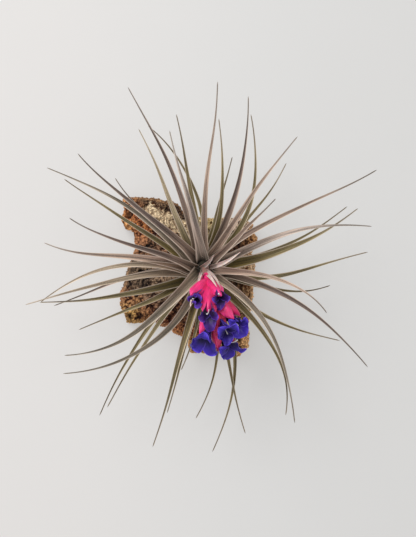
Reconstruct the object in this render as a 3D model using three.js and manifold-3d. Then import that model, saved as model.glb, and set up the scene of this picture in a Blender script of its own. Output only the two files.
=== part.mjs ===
// An air plant, Tillandsia aeranthos in its dark "Negra" form, in flower on a slab of cork bark.
// Millimetres, +Z up. The slab lies on its flat back. The origin is on that back, under the
// plant's stem. +Y runs towards the slab's upper edge and +X to its right.
import * as THREE from 'three';
import Module from 'manifold-3d';

const wasm = await Module();
wasm.setup();

// Driving dimensions.
const CLEARANCE = 0.35; // gap between neighbouring pieces
const BARK_THICKNESS = 15.5; // of the slab, between its ridges
const BARK_CELL = 3; // spacing of the bark's surface points
const SEAT_HEIGHT = 16.8; // bark height where the plant has rooted
const SEAT_RADIUS = 8;
const STEM_FOOT = 20.6;
const STEM_TOP = 52;
const STEM_RADIUS = 5.4;
const SCAPE_RADIUS = 2.2; // the bare stalk below the flowers
const TUBE_RADIUS = 1.7; // a flower's tube
const CALYX_WALL = 0.8;
const CLAW_WIDTH = 4.6; // the narrow foot of a petal
const LEAF_THICKNESS = 1.3; // at a leaf's foot
const LEAF_TIP_WIDTH = 0.8;
const BLADE_THICKNESS = 0.8; // of bracts and petals
const FINEST_FACE = 0.035; // faces that stand out less than this are merged

// Leaves and flowers are given by where they show on a picture plane 50 mm above the surface,
// seen from a point 650 mm above it. onSightLine takes such a place to its own height.
const EYE = new THREE.Vector3(1.8, -0.9, 650);
const PICTURE_HEIGHT = 50;

function onSightLine(x, y, z) {
  const scale = (EYE.z - z) / (EYE.z - PICTURE_HEIGHT);
  return new THREE.Vector3(EYE.x + (x - EYE.x) * scale, EYE.y + (y - EYE.y) * scale, z);
}

// Vectors and numbers.
const UP = new THREE.Vector3(0, 0, 1);
const radians = THREE.MathUtils.degToRad;
const { lerp, smoothstep } = THREE.MathUtils;
const plus = (a, b, k = 1) => a.clone().addScaledVector(b, k);
const minus = (a, b) => a.clone().sub(b);
const heading = (degrees) => new THREE.Vector3(1, 0, 0).applyAxisAngle(UP, radians(degrees));
const squareTo = (v, axis) => plus(v, axis, -v.dot(axis)).normalize();

// A repeatable number from 0 to 1 for each whole number.
function chance(n) {
  const s = Math.sin(n * 12.9898 + 4.1414) * 43758.5453;
  return s - Math.floor(s);
}

// Smooth bumps between -0.5 and 0.5, from a random height at each whole-numbered place.
function bumps(x, y, seed) {
  const i = Math.floor(x);
  const j = Math.floor(y);
  const at = (di, dj) => chance((i + di) * 57 + (j + dj) * 131 + seed) - 0.5;
  const u = smoothstep(x - i, 0, 1);
  const v = smoothstep(y - j, 0, 1);
  return lerp(lerp(at(0, 0), at(1, 0), u), lerp(at(0, 1), at(1, 1), u), v);
}

// Closed bodies.
function bodyFrom(points, faces) {
  const sixVolume = ([a, b, c]) => points[a].dot(points[b].clone().cross(points[c]));
  const sixVolumes = faces.reduce((sum, corners) => sum + sixVolume(corners), 0);
  const outward = sixVolumes > 0 ? faces : faces.map(([a, b, c]) => [a, c, b]);
  const mesh = new wasm.Mesh({
    numProp: 3,
    vertProperties: new Float32Array(points.flatMap((p) => [p.x, p.y, p.z])),
    triVerts: new Uint32Array(outward.flat()),
  });
  return new wasm.Manifold(mesh);
}

const join = (bodies) => bodies.reduce((whole, body) => whole.add(body));
const cut = (body, tools) => tools.reduce((rest, tool) => rest.subtract(tool), body);

// What a cut leaves hanging loose is dropped.
const largest = (body) => body.decompose().sort((a, b) => b.volume() - a.volume())[0];

// A level ten-sided ring about the stem's axis.
function flatRing([z, radius]) {
  return Array.from({ length: 10 }, (_, k) => heading(36 * k).multiplyScalar(radius).setZ(z));
}

function fan(size) {
  return Array.from({ length: size - 2 }, (_, k) => [0, k + 1, k + 2]);
}

// A body through rings of points, counterclockwise as seen from its last ring.
function loft(rings, endFaces = fan(rings[0].length)) {
  const size = rings[0].length;
  const faces = [];
  for (let k = 0; k + 1 < rings.length; k += 1) {
    for (let j = 0; j < size; j += 1) {
      const a = k * size + j;
      const b = k * size + ((j + 1) % size);
      faces.push([a, b, b + size], [a, b + size, a + size]);
    }
  }
  const last = (rings.length - 1) * size;
  endFaces.forEach(([a, b, c]) => faces.push([a, c, b], [last + a, last + b, last + c]));
  return bodyFrom(rings.flat(), faces);
}

// A round body along a curve, radiusAt(0) thick at its start and radiusAt(1) at its end.
function rod(curve, radiusAt, sides, steps) {
  const { normals, binormals } = curve.computeFrenetFrames(steps, false);
  const rings = normals.map((normal, k) => {
    const centre = curve.getPointAt(k / steps);
    const radius = radiusAt(k / steps);
    return Array.from({ length: sides }, (_, j) => {
      const angle = (2 * Math.PI * j) / sides;
      return plus(plus(centre, normal, radius * Math.cos(angle)), binormals[k], radius * Math.sin(angle));
    });
  });
  return loft(rings);
}

// A leaf, bract or petal follows a line. At each station it is 2 * half wide, its edges lie rise
// above its middle on the side of normal, and it is thick in its middle and sharp at its edges.
// Both faces are split alike into lanes. The last station is its tip.
function blade(stations, lanes) {
  const points = [];
  const faces = [];
  const face = (a, b, c) => (a === b || b === c || c === a ? 0 : faces.push([a, b, c]));
  const rows = stations.slice(0, -1).map(({ centre, side, normal, half, rise, thick }) => {
    const row = { upper: [], lower: [] };
    for (let j = 0; j <= lanes; j += 1) {
      const v = (2 * j) / lanes - 1;
      const above = plus(plus(centre, side, half * v), normal, rise * v * v);
      const edge = j === 0 || j === lanes;
      row.upper.push(points.push(above) - 1);
      row.lower.push(edge ? row.upper[j] : points.push(plus(above, normal, -thick * (1 - v * v))) - 1);
    }
    return row;
  });
  const tip = points.push(stations.at(-1).centre) - 1;
  for (let j = 0; j < lanes; j += 1) {
    rows.slice(1).forEach((next, k) => {
      const row = rows[k];
      face(row.upper[j], row.upper[j + 1], next.upper[j + 1]);
      face(row.upper[j], next.upper[j + 1], next.upper[j]);
      face(row.lower[j], next.lower[j + 1], row.lower[j + 1]);
      face(row.lower[j], next.lower[j], next.lower[j + 1]);
    });
    const foot = rows[0];
    const last = rows.at(-1);
    face(foot.upper[j], foot.lower[j], foot.lower[j + 1]);
    face(foot.upper[j], foot.lower[j + 1], foot.upper[j + 1]);
    face(last.upper[j], last.upper[j + 1], tip);
    face(last.lower[j + 1], last.lower[j], tip);
  }
  return bodyFrom(points, faces);
}

// Stations along pointAt(t), t from 0 to 1. inward(point, t) says which way the hollow side faces,
// and shape(t) gives half, rise and thick. A blade that is grown is that much bigger all round.
function stationsAlong(pointAt, inward, shape, count, grown = 0) {
  const step = 0.01;
  return Array.from({ length: count + 1 }, (_, k) => {
    const t = k / count;
    const point = pointAt(t);
    const tangent = minus(pointAt(Math.min(t + step, 1)), pointAt(Math.max(t - step, 0))).normalize();
    const normal = squareTo(inward(point, t), tangent);
    const side = normal.clone().cross(tangent);
    const { half, rise, thick } = shape(t);
    const wider = half + 3 * grown;
    const ends = { 0: -grown, [count]: 3 * grown };
    return {
      centre: plus(plus(point, normal, grown), tangent, ends[k] ?? 0),
      side,
      normal,
      half: wider,
      rise: half > 0 ? rise * (wider / half) ** 2 : 0,
      thick: thick + 2 * grown,
    };
  });
}

// Cork bark.
const BARK_OUTLINE = [
  [-52.6, 43.9], [-47.8, 45.8], [-34.9, 44.5], [-18.2, 41.3], [-12.4, 33.6], [0.5, 31.6], [22.4, 32.3],
  [31.4, 27.8], [30.1, 23.2], [33.7, 18.7], [31.4, 14.9], [30.1, 8.4], [31.7, 0.1], [30.8, -22.5],
  [28.2, -34.7], [27.4, -51.5], [19.8, -58.5], [10.8, -56], [-9.1, -55.3], [-11.1, -45], [-20.7, -42.1],
  [-22, -37.3], [-28.5, -37.9], [-36.2, -32.5], [-41.3, -36], [-51, -36], [-54.6, -25], [-53.6, -16],
  [-48.4, 3.3], [-44.6, 13.6], [-47.1, 24.2], [-51.7, 24.5], [-53.9, 29.7], [-52.6, 38.1],
];
const BARK_CENTRE = new THREE.Vector2(-10, -5);
const BARK_RIDGE = new THREE.Line3(new THREE.Vector3(-38, 38, 0), new THREE.Vector3(-6, 8, 0));
const BARK_SIDES = [ // height, size against the outline, unevenness
  [-1, 1, 0], [4, 1, 1.6], [9, 0.975, 1.6], [13, 0.955, 1.4], [30, 0.93, 0],
];

function barkHeight(x, y) {
  const place = new THREE.Vector3(x, y, 0);
  const fromRidge = BARK_RIDGE.closestPointToPoint(place, true, new THREE.Vector3()).distanceTo(place);
  const ridge = 4.2 * (1 - smoothstep(fromRidge, 3, 9));
  const brokenCorner = 5 * smoothstep(-x, 38, 50) * smoothstep(y, 8, 26);
  const topStrip = 1.8 * smoothstep(y, 30, 36);
  const grain = 3.4 * bumps(x / 16, y / 16, 11) + 2.6 * bumps(x / 5.5, y / 5.5, 47);
  const height = BARK_THICKNESS + grain + ridge - brokenCorner - topStrip;
  return lerp(SEAT_HEIGHT, height, smoothstep(Math.hypot(x, y), SEAT_RADIUS, SEAT_RADIUS + 5));
}

// A block with the bark's uneven face on top, larger than the slab.
function barkFace() {
  const columns = 31;
  const rows = 37;
  const points = [];
  for (let j = 0; j <= rows; j += 1) {
    for (let i = 0; i <= columns; i += 1) {
      const n = j * 100 + i;
      const x = -57 + BARK_CELL * (i + 0.5 * chance(n) - 0.25);
      const y = -62 + BARK_CELL * (j + 0.5 * chance(n + 5000) - 0.25);
      points.push(new THREE.Vector3(x, y, barkHeight(x, y)));
    }
  }
  const at = (i, j) => j * (columns + 1) + i;
  const faces = [];
  for (let j = 0; j < rows; j += 1) {
    for (let i = 0; i < columns; i += 1) {
      faces.push([at(i, j), at(i + 1, j), at(i + 1, j + 1)], [at(i, j), at(i + 1, j + 1), at(i, j + 1)]);
    }
  }
  const rim = [];
  for (let i = 0; i < columns; i += 1) rim.push(at(i, 0));
  for (let j = 0; j < rows; j += 1) rim.push(at(columns, j));
  for (let i = columns; i > 0; i -= 1) rim.push(at(i, rows));
  for (let j = rows; j > 0; j -= 1) rim.push(at(0, j));
  const foot = rim.map((top) => points.push(points[top].clone().setZ(0)) - 1);
  const middle = points.push(new THREE.Vector3(BARK_CENTRE.x, BARK_CENTRE.y, 0)) - 1;
  rim.forEach((top, k) => {
    const next = (k + 1) % rim.length;
    faces.push([rim[next], top, foot[k]], [rim[next], foot[k], foot[next]], [foot[next], foot[k], middle]);
  });
  return bodyFrom(points, faces);
}

// A block with the slab's broken edges, taller than the slab.
function barkEdges() {
  const outline = BARK_OUTLINE.map(([x, y]) => new THREE.Vector2(x, y)).reverse();
  const rings = BARK_SIDES.map(([z, size, uneven], level) => outline.map((corner, k) => {
    const spot = corner.clone().lerp(BARK_CENTRE, 1 - size);
    const shift = (n) => uneven * (chance(level * 100 + k * 2 + n) - 0.5);
    return new THREE.Vector3(spot.x + shift(0), spot.y + shift(1), z);
  }));
  return loft(rings, THREE.ShapeUtils.triangulateShape(outline, []));
}

const corkSlab = barkFace().intersect(barkEdges());

// Leaves. Low ones leave the stem near its foot and lie flat, high ones near its top and stand up.
const LOWEST = { root: 24.5, rise: 9, tip: 15 };
const HIGHEST = { root: 49, rise: 55, tip: 97 };
const TIP_DROOP = 12; // degrees below level at a leaf's tip
const ROOT_DEPTH = 3.4; // from the stem's middle to a leaf's root

// One row a leaf, clockwise from the top: level from 0 (lowest) to 1 (highest), heading where it
// leaves the stem (degrees from +X), how far its foot is shifted to its left, tip on the picture
// plane, heading at the tip, width, and how far the leaf's middle bows to its left.
const LEAVES = [
  [0.62, 92, -0.8, 7.6, 111.2, 93, 5.3, 2],
  [0.42, 66, 0.6, 8.3, 89, 99, 5.3, 0.9],
  [0.2, 72, 2.2, 16.4, 66.1, 76, 4.5, 0.3],
  [0.7, 63, 0, 25.9, 102.5, 92, 6.4, 0.7],
  [0.25, 42, 0, 27.5, 91.6, 98, 5.4, -1.4],
  [0.82, 60, -0.6, 55.5, 78.2, 46, 6, -1.4],
  [0.12, 50, 0, 48.8, 62.3, 62, 4.2, -0.6],
  [0.95, 42, 0, 42.4, 40.9, 45, 5.4, 0],
  [0.86, 42, 0.6, 103.1, 58.3, 30, 4.7, -0.6],
  [0.22, 16, -2, 85.3, 36.3, 33, 5, -2.2],
  [0.45, 12, -0.4, 91.9, 35.2, 32, 8.4, -2.5],
  [0.68, 30, -2.6, 100.1, 24.3, -6, 6.6, 0.2],
  [0.36, -16, -1, 97.7, 8.9, 10, 5.6, -1.2],
  [0.1, -12, -1, 75.1, -11, 13, 5, -2.2],
  [0.9, -8, -1, 73.1, -27.7, -51, 5, 1.3],
  [0.72, -10, -1.6, 97.6, -60.1, -51, 5.6, -0.2],
  [0.15, -42, -1, 80.8, -44.2, -20, 5.4, -2.8],
  [0.84, -30, -2, 53.9, -93.6, -80, 5.4, 2],
  [0.4, -40, -4, 48.4, -88.9, -97, 5.8, 1.2],
  [0.24, -72, 0, 24.2, -99.9, -73.5, 5.4, -0.3],
  [0.18, -58, 0, 4.4, -110.9, -113, 5.6, 1],
  [0.08, -72, 0, -5.5, -90.8, -118, 4.6, 0.6],
  [0.6, -106, 0, -31.4, -107.9, -110, 6.4, -0.5],
  [0.14, -104, 0, -22.7, -87.5, -106, 5, 0],
  [0.02, -98, 0, -14.3, -61.8, -116, 5, 0],
  [0.2, -140, 0, -63.3, -89.1, -112, 5.6, 0.8],
  [0.34, -132, 0, -58.6, -84.2, -120, 5, -0.4],
  [0.66, -112, 0, -85.1, -64, -172, 6.8, 2],
  [0.88, -135, 0, -84.3, -53, -177, 7.6, 0.9],
  [0.22, -146, 0, -75.7, -37.7, -150, 6, 2],
  [0.1, 174, 0, -90.6, -23.2, -152, 5.6, 3],
  [0.3, -165, 4.5, -99.2, -21.2, -176, 7, 1.2],
  [0.48, 168, 4.5, -107.7, -22.7, -154, 6.4, 5.2],
  [0.8, 156, 5.5, -98.5, -21.1, -136, 5.6, 2.2],
  [0.78, 150, 5.5, -96.5, 14.5, 164, 7.2, 3.2],
  [0.92, 152, 3.2, -81.4, 29.4, 146, 5.2, 0.2],
  [0.64, 136, 3.5, -94.9, 59.6, 153, 6, -2.8],
  [0.44, 148, 4, -84.5, 52.8, 136, 5.2, -3.4],
  [0.86, 132, 0, -76.3, 68.1, 132, 6.4, 0.6],
  [0.05, 135, 0, -53.9, 53.5, 122, 4.4, 0],
  [0.58, 103, 3, -46.3, 107.9, 117, 5.6, -1.2],
  [0.38, 118, 3, -39.9, 82.9, 116, 6.2, -0.8],
  [0.16, 84, 0, -34, 84.3, 146, 4, 2],
  [0.98, 102, -0.6, -21.2, 81.8, 102, 7.1, -0.2],
  [0.5, 106, 0, -17.2, 91.6, 97, 6, -2.4],
];

function leaf([level, atStem, shift, tipX, tipY, atTip, width, bow], index) {
  const between = (key) => lerp(LOWEST[key], HIGHEST[key], level);
  const side = heading(atStem + 90);
  const start = plus(heading(atStem).multiplyScalar(ROOT_DEPTH), side, shift).setZ(between('root'));
  const tip = new THREE.Vector3(tipX, tipY, between('tip') + 6 * (chance(index + 200) - 0.5));
  const reach = Math.hypot(tipX - start.x, tipY - start.y);
  const rising = heading(atStem).setZ(Math.tan(radians(between('rise'))));
  const falling = heading(atTip).setZ(-Math.tan(radians(TIP_DROOP)));
  const curve = new THREE.CubicBezierCurve3(
    start,
    plus(start, rising, 0.4 * reach),
    plus(tip, falling, -0.35 * reach),
    tip,
  );
  const roll = radians(36 * (chance(index + 400) - 0.5));
  const aside = new THREE.Vector3(start.y - tipY, tipX - start.x, 0).divideScalar(reach);
  const pointAt = (t) => {
    const { x, y, z } = plus(curve.getPoint(t), aside, 4 * bow * t * (1 - t));
    return onSightLine(x, y, z);
  };
  const facing = UP.clone().multiplyScalar(Math.cos(roll)).addScaledVector(side, Math.sin(roll));
  const shape = (t) => {
    const half = 0.5 * lerp(LEAF_TIP_WIDTH, width, (1 - t) ** 1.6);
    return { half, rise: half * lerp(0.45, 0.75, t), thick: lerp(LEAF_THICKNESS, 0.7, t) };
  };
  return blade(stationsAlong(pointAt, () => facing, shape, 11), 2);
}

function stem() {
  const profile = [
    [STEM_FOOT, 4.6], [STEM_FOOT + 3, STEM_RADIUS], [STEM_TOP - 6, STEM_RADIUS - 0.6], [STEM_TOP, 3.8],
  ];
  return loft(profile.map(flatRing));
}

// The stalk of the flower head, with its pale bracts.
const along = (places) => new THREE.CatmullRomCurve3(places.map((place) => onSightLine(...place)));
const SCAPE = along([[0, 0, 44], [0.1, -0.4, 54], [0.8, -4, 63], [1.8, -8.4, 69]]);
const SCAPE_BRACTS = [
  { foot: [-1.8, -1.8, 56], bend: [-2.9, -6.9, 76], tip: [-6, -12.3, 80], width: 1.7 },
  { foot: [-1.2, -1.8, 56], bend: [6.2, -1.5, 80], tip: [10.5, -16.8, 84], width: 1.6 },
  { foot: [0, -3.4, 58], bend: [3.6, -5.4, 84], tip: [7.2, -12, 86], width: 2 },
  { foot: [-2.7, -0.8, 52], bend: [1.4, 0.6, 68], tip: [5.4, 7.2, 70], width: 2.6 },
  { foot: [3, -0.2, 54], bend: [10, 0.6, 74], tip: [21.3, 9, 76], width: 2.6 },
];

function scapeBract({ foot, bend, tip, width }, grown) {
  const [start, middle, end] = [foot, bend, tip].map((place) => onSightLine(...place));
  const curve = new THREE.QuadraticBezierCurve3(start, middle, end);
  const shape = (t) => {
    const half = 0.5 * width * Math.sin(Math.PI * (0.28 + 0.72 * t)) ** 0.8;
    return { half, rise: 0.5 * half, thick: BLADE_THICKNESS };
  };
  const inward = (point) => minus(new THREE.Vector3(start.x, start.y, point.z + 12), point);
  return blade(stationsAlong((t) => curve.getPoint(t), inward, shape, 6, grown), 4);
}

function scape(grown = 0) {
  const stalk = rod(SCAPE, () => SCAPE_RADIUS + grown, 8, 8);
  const bracts = SCAPE_BRACTS.map((bract) => scapeBract(bract, grown));
  return join([stalk, ...bracts]);
}

// Flowers. Each leaves the flower head's middle stalk at root (0 at its foot, 1 at its end), and has
// its mouth at this place and height. A row a petal: tip, width, where the petal is broadest (0 at
// its foot, 1 at its tip) and how pointed it is.
const RACHIS = along([
  [1, -5, 64.5], [1.8, -8.4, 69], [3, -15, 74], [4.2, -24, 78], [6, -31, 80], [7.4, -38, 81],
]);
const FLOWERS = [
  { root: 0.12, mouth: [-5.9, -19.4, 84], petals: [
    [[-8.4, -17.2, 88], 6.2, 0.7, 0],
    [[-2.8, -16.8, 89], 6, 0.7, 0],
    [[-5.6, -22.8, 87], 6.8, 0.7, 0],
  ] },
  { root: 0.2, mouth: [9.3, -18.6, 86], petals: [
    [[4.3, -18.8, 91], 5, 0.7, 0.3],
    [[14.6, -18.6, 90], 5.5, 0.7, 0.3],
    [[8.1, -26.6, 87], 7.8, 0.38, 1.2],
  ] },
  { root: 0.34, mouth: [2.6, -28.6, 93], petals: [
    [[-4.4, -30.6, 95], 6, 0.6, 0.3],
    [[7.8, -28.4, 96], 6.5, 0.65, 0.1],
    [[3, -39.8, 91], 7.8, 0.5, 0.35],
  ] },
  { root: 0.62, mouth: [-0.6, -43.6, 84], petals: [
    [[-8, -49.4, 83], 9.5, 0.75, 0.2],
    [[7, -53.2, 82], 8.5, 0.75, 0.2],
    [[-1.2, -40, 92], 9.5, 0.7, 0],
  ] },
  { root: 0.86, mouth: [14.4, -47.6, 79], petals: [
    [[8.8, -49.4, 84], 7.5, 0.7, 0.2],
    [[13.2, -56.2, 76], 9, 0.75, 0.3],
    [[24.9, -50.4, 80], 7.5, 0.45, 0.8],
  ] },
  { root: 0.6, mouth: [13.2, -38.6, 89], petals: [
    [[8.4, -37.4, 96], 9.5, 0.65, 0.1],
    [[18.4, -35, 96], 8.5, 0.65, 0.1],
    [[13, -47.6, 90], 9.5, 0.5, 0.8],
  ] },
  { root: 0.44, mouth: [18.6, -34.2, 81], petals: [
    [[24, -40.6, 82], 12, 0.72, 0],
    [[25, -30.8, 84], 7.5, 0.65, 0.3],
    [[14.3, -31.8, 87], 6, 0.65, 0.3],
  ] },
];

function flowerLine({ root, mouth }) {
  const from = RACHIS.getPoint(root);
  const to = onSightLine(...mouth);
  const direction = minus(to, from).normalize();
  return { from, to, direction, length: from.distanceTo(to) };
}

function straightRod(from, to, radiusAt, sides) {
  return rod(new THREE.LineCurve3(from, to), radiusAt, sides, 2);
}

function petal(flower, [place, width, broadest, point], grown) {
  const { to, direction, length } = flowerLine(flower);
  const tip = onSightLine(...place);
  const radial = squareTo(minus(tip, to), direction);
  const claw = plus(plus(to, direction, -0.36 * length), radial, 0.9);
  const throat = plus(plus(to, direction, -1.5), radial, 2.1);
  const curve = new THREE.CubicBezierCurve3(claw, throat, plus(plus(to, direction, 3.6), radial, 2.6), tip);
  const focus = plus(plus(to, direction, 7), UP, 5);
  const shape = (t) => {
    const blooming = smoothstep(t, 0.2, broadest);
    const past = Math.max(0, t - broadest) / (1 - broadest);
    const closing = Math.max(0, 1 - past ** 2) ** (0.5 + 0.6 * point);
    const half = 0.5 * lerp(CLAW_WIDTH, width, blooming) * closing;
    const wave = 0.2 * blooming * Math.sin(9 * t);
    return { half, rise: half * (lerp(0.5, 0.24, blooming) + wave), thick: BLADE_THICKNESS };
  };
  return blade(stationsAlong((t) => curve.getPoint(t), (at) => minus(focus, at), shape, 6, grown), 4);
}

function corolla(flower, grown = 0) {
  const { from, to, direction } = flowerLine(flower);
  const foot = plus(from.clone().lerp(to, 0.34), direction, -grown);
  const top = plus(from.clone().lerp(to, 0.7), direction, grown);
  const tube = straightRod(foot, top, () => TUBE_RADIUS + grown, 8);
  return join([tube, ...flower.petals.map((row) => petal(flower, row, grown))]);
}

function corollas() {
  const made = [];
  FLOWERS.forEach((flower, k) => {
    const neighbours = FLOWERS.slice(0, k).map((other) => corolla(other, CLEARANCE));
    made.push(largest(cut(corolla(flower), neighbours)));
  });
  return made;
}

function calyx(flower) {
  const { from, to, direction } = flowerLine(flower);
  const outer = TUBE_RADIUS + CLEARANCE + CALYX_WALL;
  const radiusAt = (t) => outer - 0.7 * (1 - t) ** 2;
  return straightRod(plus(from, direction, -1), from.clone().lerp(to, 0.6), radiusAt, 8);
}

// Bracts of the flower head, hollow towards its middle stalk: where each leaves the stalk, where it
// bends, its tip and its width. The last four close the head underneath.
const BRACTS = [
  { root: 0, bend: [-3.6, -10.2, 83], tip: [-8.6, -17.4, 85], width: 9 },
  { root: 0.05, bend: [5.8, -9.6, 84], tip: [9.9, -17.6, 86], width: 9.5 },
  { root: 0.22, bend: [1.6, -17, 93], tip: [1.4, -30.6, 88], width: 11.6 },
  { root: 0.5, bend: [-1.8, -33, 90], tip: [-3, -40.4, 87], width: 6 },
  { root: 0.72, bend: [4.8, -42, 86], tip: [7.8, -50.6, 80], width: 8 },
  { root: 0.48, bend: [7.8, -30.6, 92], tip: [7.2, -40.2, 88], width: 7 },
  { root: 0.32, bend: [12.6, -22.2, 87], tip: [17.1, -31.2, 85], width: 10 },
  { root: 0.18, bend: [3.9, -19.8, 88], tip: [5.9, -27.8, 89], width: 6.5 },
  { root: 0.3, bend: [16.8, -22.2, 84], tip: [21, -29.4, 78], width: 8 },
  { root: 0.42, bend: [11.4, -27, 84], tip: [12.6, -34.8, 84], width: 8 },
  { root: 0.85, bend: [16, -41.4, 82], tip: [18, -45.6, 79], width: 5 },
  { root: 0.04, bend: [8, -8.6, 83], tip: [10, -16.4, 85], width: 3.4 },
  { root: 0.1, bend: [-10, -18, 80], tip: [-8.4, -23.6, 84], width: 2.2 },
  { root: 0.02, bend: [-6, -8, 66], tip: [-4, -15, 72], width: 9 },
  { root: 0.3, bend: [14, -22, 66], tip: [13, -30, 70], width: 10 },
  { root: 0.45, bend: [0, -28, 66], tip: [3.5, -38, 70], width: 10 },
  { root: 0.8, bend: [5, -40, 68], tip: [5, -46, 73], width: 9 },
];

function floralBract({ root, bend, tip, width }) {
  const middle = onSightLine(...bend);
  const curve = new THREE.QuadraticBezierCurve3(RACHIS.getPoint(root), middle, onSightLine(...tip));
  const inward = minus(RACHIS.getPoint(Math.min(1, root + 0.15)), middle);
  const shape = (t) => {
    const half = 0.5 * width * Math.sin(Math.PI * (0.16 + 0.84 * t)) ** 0.7;
    return { half, rise: 0.7 * half, thick: BLADE_THICKNESS };
  };
  return blade(stationsAlong((t) => curve.getPoint(t), () => inward, shape, 6), 4);
}

function floralBracts() {
  const stalk = rod(RACHIS, (t) => lerp(SCAPE_RADIUS + CLEARANCE + 1, 1.6, t), 8, 10);
  const head = join([stalk, ...FLOWERS.map(calyx), ...BRACTS.map(floralBract)]);
  const tools = [scape(CLEARANCE), ...FLOWERS.map((flower) => corolla(flower, CLEARANCE))];
  return largest(cut(head, tools));
}

// Wiry roots from the stem's foot, lying on the bark.
const ROOTS = [ // heading, length and how far the heading turns on the way
  [25, 17, 30], [80, 15, -25], [128, 19, 35], [178, 22, -30], [222, 17, 20], [268, 20, -40], [318, 18, 30],
];
const ROOT_RADIUS = 0.9;

function root([direction, length, turn]) {
  const steps = 6;
  const places = [];
  const spot = new THREE.Vector3(0, 0, 0);
  for (let k = 0; k <= steps; k += 1) {
    const lift = 2.2 * (1 - smoothstep(k, 0, 2));
    places.push(spot.clone().setZ(barkHeight(spot.x, spot.y) + 0.7 + lift));
    spot.addScaledVector(heading(direction + (turn * k) / steps), length / steps);
  }
  return rod(new THREE.CatmullRomCurve3(places), (t) => lerp(ROOT_RADIUS, 0.5, t), 5, 8);
}

function roots() {
  const crown = loft([[SEAT_HEIGHT - 0.5, 4.2], [STEM_FOOT - CLEARANCE, 4]].map(flatRing));
  const grip = join([crown, ...ROOTS.map(root)]);
  return largest(grip.subtract(corkSlab.translate([0, 0, CLEARANCE])));
}

// The assembled part.
function piece(name, body, colour, roughness) {
  const { vertProperties, triVerts } = largest(body.asOriginal().simplify(FINEST_FACE)).getMesh();
  const geometry = new THREE.BufferGeometry();
  geometry.setAttribute('position', new THREE.BufferAttribute(new Float32Array(vertProperties), 3));
  geometry.setIndex(new THREE.BufferAttribute(new Uint32Array(triVerts), 1));
  geometry.computeVertexNormals();
  const material = new THREE.MeshStandardMaterial({ color: colour, roughness, metalness: 0 });
  const mesh = new THREE.Mesh(geometry, material);
  mesh.name = name;
  return mesh;
}

const scapeBody = largest(cut(scape(), FLOWERS.map((flower) => corolla(flower, CLEARANCE))));
const leafyStem = largest(cut(join([stem(), ...LEAVES.map(leaf)]), [scape(CLEARANCE)]));

const flowerHead = new THREE.Group();
flowerHead.add(piece('scape', scapeBody, 0xe6b9b4, 0.6));
flowerHead.add(piece('floral_bracts', floralBracts(), 0xe0306e, 0.5));
corollas().forEach((body, k) => flowerHead.add(piece(`corolla_${k + 1}`, body, 0x43289a, 0.5)));

const plant = new THREE.Group();
plant.add(piece('leafy_stem', leafyStem, 0x807569, 0.8));
plant.add(piece('roots', roots(), 0x5f4a36, 0.9));
plant.add(flowerHead);

const part = new THREE.Group();
part.add(piece('cork_slab', corkSlab, 0x8a6f57, 0.95));
part.add(plant);

export default part;
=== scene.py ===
import math
import random

import bpy
import numpy as np
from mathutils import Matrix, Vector, noise
from mathutils.bvhtree import BVHTree


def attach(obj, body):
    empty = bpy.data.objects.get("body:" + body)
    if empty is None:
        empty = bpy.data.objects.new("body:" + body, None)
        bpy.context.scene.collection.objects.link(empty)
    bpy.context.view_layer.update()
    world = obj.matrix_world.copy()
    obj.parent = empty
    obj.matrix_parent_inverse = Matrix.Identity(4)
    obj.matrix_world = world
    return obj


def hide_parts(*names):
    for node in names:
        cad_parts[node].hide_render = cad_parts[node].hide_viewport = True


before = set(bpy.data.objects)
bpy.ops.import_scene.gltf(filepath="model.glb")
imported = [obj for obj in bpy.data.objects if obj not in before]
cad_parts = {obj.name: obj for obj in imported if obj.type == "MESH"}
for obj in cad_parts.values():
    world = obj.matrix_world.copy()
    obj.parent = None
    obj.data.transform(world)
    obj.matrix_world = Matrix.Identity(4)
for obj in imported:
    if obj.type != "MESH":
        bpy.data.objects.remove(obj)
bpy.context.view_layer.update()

MM = 0.001
SEED = 7
random.seed(SEED)
noise.seed_set(SEED)  # for noise_vector, which the clock would seed otherwise

# The picture plane, as in the model: places on it are seen from EYE and moved to their own height.
EYE = np.array([1.8, -0.9, 650.0])
PICTURE_HEIGHT = 50.0
UP = np.array([0.0, 0.0, 1.0])


def on_sight_line(place):
    """The place at height place[2] that is seen at place[0], place[1] on the picture plane."""
    place = np.asarray(place, float)
    scale = (EYE[2] - place[..., 2:]) / (EYE[2] - PICTURE_HEIGHT)
    flat = EYE[:2] + (place[..., :2] - EYE[:2]) * scale
    return np.concatenate([flat, place[..., 2:]], axis=-1)


# Numbers and vectors.
def lerp(a, b, t):
    return a + (b - a) * t


def smoothstep(x, low, high):
    t = np.clip((np.asarray(x, float) - low) / (high - low), 0, 1)
    return t * t * (3 - 2 * t)


def blended(a, b, t, low, high):
    """Row by row, a where t is below low and b where it is above high, with a smooth change between."""
    return lerp(a, b, smoothstep(t, low, high)[:, None])


def unit(v):
    return v / np.linalg.norm(v, axis=-1, keepdims=True)


def square_to(v, axis):
    return unit(v - np.sum(v * axis, axis=-1, keepdims=True) * axis)


def lengths_along(line):
    return np.concatenate([[0], np.cumsum(np.linalg.norm(np.diff(line, axis=0), axis=1))])


def heading(degrees, z=0.0):
    return np.array([math.cos(math.radians(degrees)), math.sin(math.radians(degrees)), z])


def chance(n):
    """The same repeatable number from 0 to 1 for each whole number as in the model."""
    s = math.sin(n * 12.9898 + 4.1414) * 43758.5453
    return s - math.floor(s)


def colour(red, green, blue):
    """A screen colour, 0 to 255, as light, by the usual curve of screens."""
    share = np.array([red, green, blue]) / 255
    return np.where(share > 0.04, ((share + 0.055) / 1.055) ** 2.4, share / 12.92)


def bezier(controls, t):
    t = np.asarray(t, float)[:, None]
    rows = [np.asarray(c, float)[None, :] for c in controls]
    while len(rows) > 1:
        rows = [lerp(a, b, t) for a, b in zip(rows, rows[1:])]
    return rows[0]


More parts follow.
